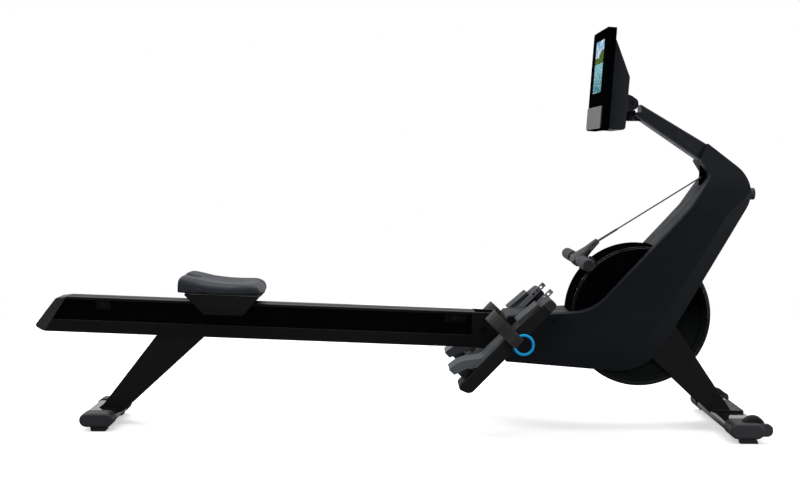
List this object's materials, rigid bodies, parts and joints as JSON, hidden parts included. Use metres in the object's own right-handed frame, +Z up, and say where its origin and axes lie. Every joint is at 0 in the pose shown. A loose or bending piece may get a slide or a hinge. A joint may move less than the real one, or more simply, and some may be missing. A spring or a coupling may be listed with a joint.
{
  "type": "rowing machine",
  "caption": "Folding rowing machine with a rolling seat on a sloped rail, boomerang flywheel housing, strap handle, pivoting foot pedals and tilting screen.",
  "frame": {"origin": "middle of the footprint on the floor", "axes": "+X from the rail's rear tip towards the flywheel, +Y to the left of a rower who faces the flywheel, +Z up"},
  "size_m": [2.1936, 0.559, 1.2106],
  "materials": {
    "shell": "fine textured blue-black",
    "casing": "polished black",
    "frame_paint": "satin black powder coat",
    "tube_gloss": "gloss black",
    "rail_metal": "black anodised",
    "trim_plastic": "dark grey moulded",
    "steel": "turned steel",
    "cast": "machined iron",
    "rubber_black": "matte",
    "seat_cover": "moulded polyurethane",
    "grip_foam": "grey foam",
    "webbing": "woven webbing",
    "foot_grey": "mid grey moulded",
    "ring_blue": "bright blue",
    "screen": "black glass",
    "speaker_mesh": "grey woven mesh"
  },
  "bodies": {
    "frame": {"main_frame": "frame_paint", "display_post": "frame_paint", "front_leg": "frame_paint", "hinge_fork": "frame_paint", "fold_pin": "steel", "pedal_shaft": "steel", "front_foot_bar": "tube_gloss", "front_foot_caps": "trim_plastic", "front_foot_pads": "rubber_black", "wheel_axles": "steel", "housing_right": "shell", "housing_left": "shell", "pulley_bezel": "casing", "flywheel_casing_right": "casing", "flywheel_casing_left": "casing", "inner_strap": "webbing", "drive_belt": "rubber_black", "brake_motor": "trim_plastic", "drive_axles": "steel", "handle_cradle": "trim_plastic", "power_inlet": "trim_plastic", "housing_screws": "steel"},
    "rail": {"rail_extrusion": "rail_metal", "rail_rear_cap": "trim_plastic", "rail_hinge_block": "steel", "seat_stops": "rubber_black", "rear_leg": "frame_paint", "rear_foot_bar": "tube_gloss", "rear_foot_caps": "trim_plastic", "rear_foot_pads": "rubber_black"},
    "seat": {"seat_pad": "seat_cover", "seat_carriage": "trim_plastic"},
    "rollers_upper_rear": {"upper_rollers_rear": "rubber_black"},
    "rollers_upper_front": {"upper_rollers_front": "rubber_black"},
    "rollers_lower_rear": {"lower_rollers_rear": "rubber_black"},
    "rollers_lower_front": {"lower_rollers_front": "rubber_black"},
    "strap_lead": {"pull_strap": "webbing"},
    "handle": {"handle_bar": "steel", "handle_grips": "grip_foam", "handle_yoke": "trim_plastic"},
    "guide_pulley": {"guide_pulley": "trim_plastic"},
    "strap_reel": {"strap_reel": "trim_plastic"},
    "flywheel": {"flywheel": "cast"},
    "brake": {"brake_yoke": "frame_paint"},
    "knob": {"column_knob": "trim_plastic"},
    "wheel_right": {"wheel_right": "rubber_black"},
    "wheel_left": {"wheel_left": "rubber_black"},
    "display_swivel": {"display_swivel": "frame_paint"},
    "display": {"display_frame": "casing", "display_glass": "screen", "display_speaker": "speaker_mesh", "display_back": "shell"},
    "pedal_right": {"pedal_base_right": "trim_plastic", "foot_strap_right": "webbing", "strap_ring_right": "ring_blue"},
    "footbed_right": {"footbed_right": "foot_grey"},
    "pedal_left": {"pedal_base_left": "trim_plastic", "foot_strap_left": "webbing", "strap_ring_left": "ring_blue"},
    "footbed_left": {"footbed_left": "foot_grey"}
  },
  "joints": [
    {"name": "rail_fold", "type": "hinge", "parent": "frame", "child": "rail", "pos_m": [0.268, 0, 0.3], "axis": [0, -1, 0], "range_deg": [-85, 0]},
    {"name": "seat_slide", "type": "slide", "parent": "rail", "child": "seat", "axis": [0.9995, 0, -0.0323], "range_m": [-0.26, 0.6]},
    {"name": "roller_upper_rear_spin", "type": "hinge", "parent": "seat", "child": "rollers_upper_rear", "pos_m": [-0.58257, 0, 0.39247], "axis": [0, 1, 0], "continuous": true},
    {"name": "roller_upper_front_spin", "type": "hinge", "parent": "seat", "child": "rollers_upper_front", "pos_m": [-0.46263, 0, 0.38859], "axis": [0, 1, 0], "continuous": true},
    {"name": "roller_lower_rear_spin", "type": "hinge", "parent": "seat", "child": "rollers_lower_rear", "pos_m": [-0.58352, 0, 0.36298], "axis": [0, 1, 0], "continuous": true},
    {"name": "roller_lower_front_spin", "type": "hinge", "parent": "seat", "child": "rollers_lower_front", "pos_m": [-0.46359, 0, 0.35911], "axis": [0, 1, 0], "continuous": true},
    {"name": "handle_pull", "type": "slide", "parent": "strap_lead", "child": "handle", "axis": [-0.8453, 0, -0.5344], "range_m": [0, 0.9], "stiffness_N_per_m": 12, "springref_m": -2, "deforming": ["pull_strap"]},
    {"name": "strap_swing", "type": "hinge", "parent": "frame", "child": "strap_lead", "pos_m": [0.9672, 0, 0.7565], "axis": [0, 1, 0], "range_deg": [0, 27.3]},
    {"name": "guide_pulley_spin", "type": "hinge", "parent": "frame", "child": "guide_pulley", "pos_m": [0.9672, 0, 0.7565], "axis": [0, 1, 0], "continuous": true},
    {"name": "strap_reel_spin", "type": "hinge", "parent": "frame", "child": "strap_reel", "pos_m": [0.836, 0, 0.469], "axis": [0, 1, 0], "continuous": true},
    {"name": "flywheel_spin", "type": "hinge", "parent": "frame", "child": "flywheel", "pos_m": [0.741, 0, 0.349], "axis": [0, 1, 0], "continuous": true},
    {"name": "brake_swing", "type": "hinge", "parent": "frame", "child": "brake", "pos_m": [0.588, 0, 0.44], "axis": [0, 1, 0], "range_deg": [-6, 0]},
    {"name": "knob_turn", "type": "hinge", "parent": "frame", "child": "knob", "pos_m": [1.086, 0, 0.7185], "axis": [1, 0, 0], "continuous": true},
    {"name": "wheel_right_spin", "type": "hinge", "parent": "frame", "child": "wheel_right", "pos_m": [1.046, -0.24, 0.044], "axis": [0, 1, 0], "continuous": true},
    {"name": "wheel_left_spin", "type": "hinge", "parent": "frame", "child": "wheel_left", "pos_m": [1.046, 0.24, 0.044], "axis": [0, 1, 0], "continuous": true},
    {"name": "display_swivel_turn", "type": "hinge", "parent": "frame", "child": "display_swivel", "pos_m": [0.7136, 0, 0.9899], "axis": [0, 0, 1], "range_deg": [-18, 18]},
    {"name": "display_tilt", "type": "hinge", "parent": "display_swivel", "child": "display", "pos_m": [0.7136, 0, 0.9899], "axis": [0, 1, 0], "range_deg": [-12, 15]},
    {"name": "pedal_right_tilt", "type": "hinge", "parent": "frame", "child": "pedal_right", "pos_m": [0.352, -0.1675, 0.28], "axis": [0, 1, 0], "range_deg": [-8, 14]},
    {"name": "footbed_right_slide", "type": "slide", "parent": "pedal_right", "child": "footbed_right", "axis": [0.6947, 0, 0.7193], "range_m": [-0.03, 0.03]},
    {"name": "pedal_left_tilt", "type": "hinge", "parent": "frame", "child": "pedal_left", "pos_m": [0.352, 0.1675, 0.28], "axis": [0, 1, 0], "range_deg": [-8, 14]},
    {"name": "footbed_left_slide", "type": "slide", "parent": "pedal_left", "child": "footbed_left", "axis": [0.6947, 0, 0.7193], "range_m": [-0.03, 0.03]}
  ],
  "couplings": [
    {"joint": "roller_upper_rear_spin", "follows": "seat_slide", "rad_per_m": 84.034},
    {"joint": "roller_upper_front_spin", "follows": "seat_slide", "rad_per_m": 84.034},
    {"joint": "roller_lower_rear_spin", "follows": "seat_slide", "rad_per_m": -102.04},
    {"joint": "roller_lower_front_spin", "follows": "seat_slide", "rad_per_m": -102.04},
    {"joint": "strap_swing", "follows": "handle_pull", "rad_per_m": 0.529},
    {"joint": "guide_pulley_spin", "follows": "handle_pull", "rad_per_m": -34.483},
    {"joint": "strap_reel_spin", "follows": "handle_pull", "rad_per_m": -32.258}
  ]
}
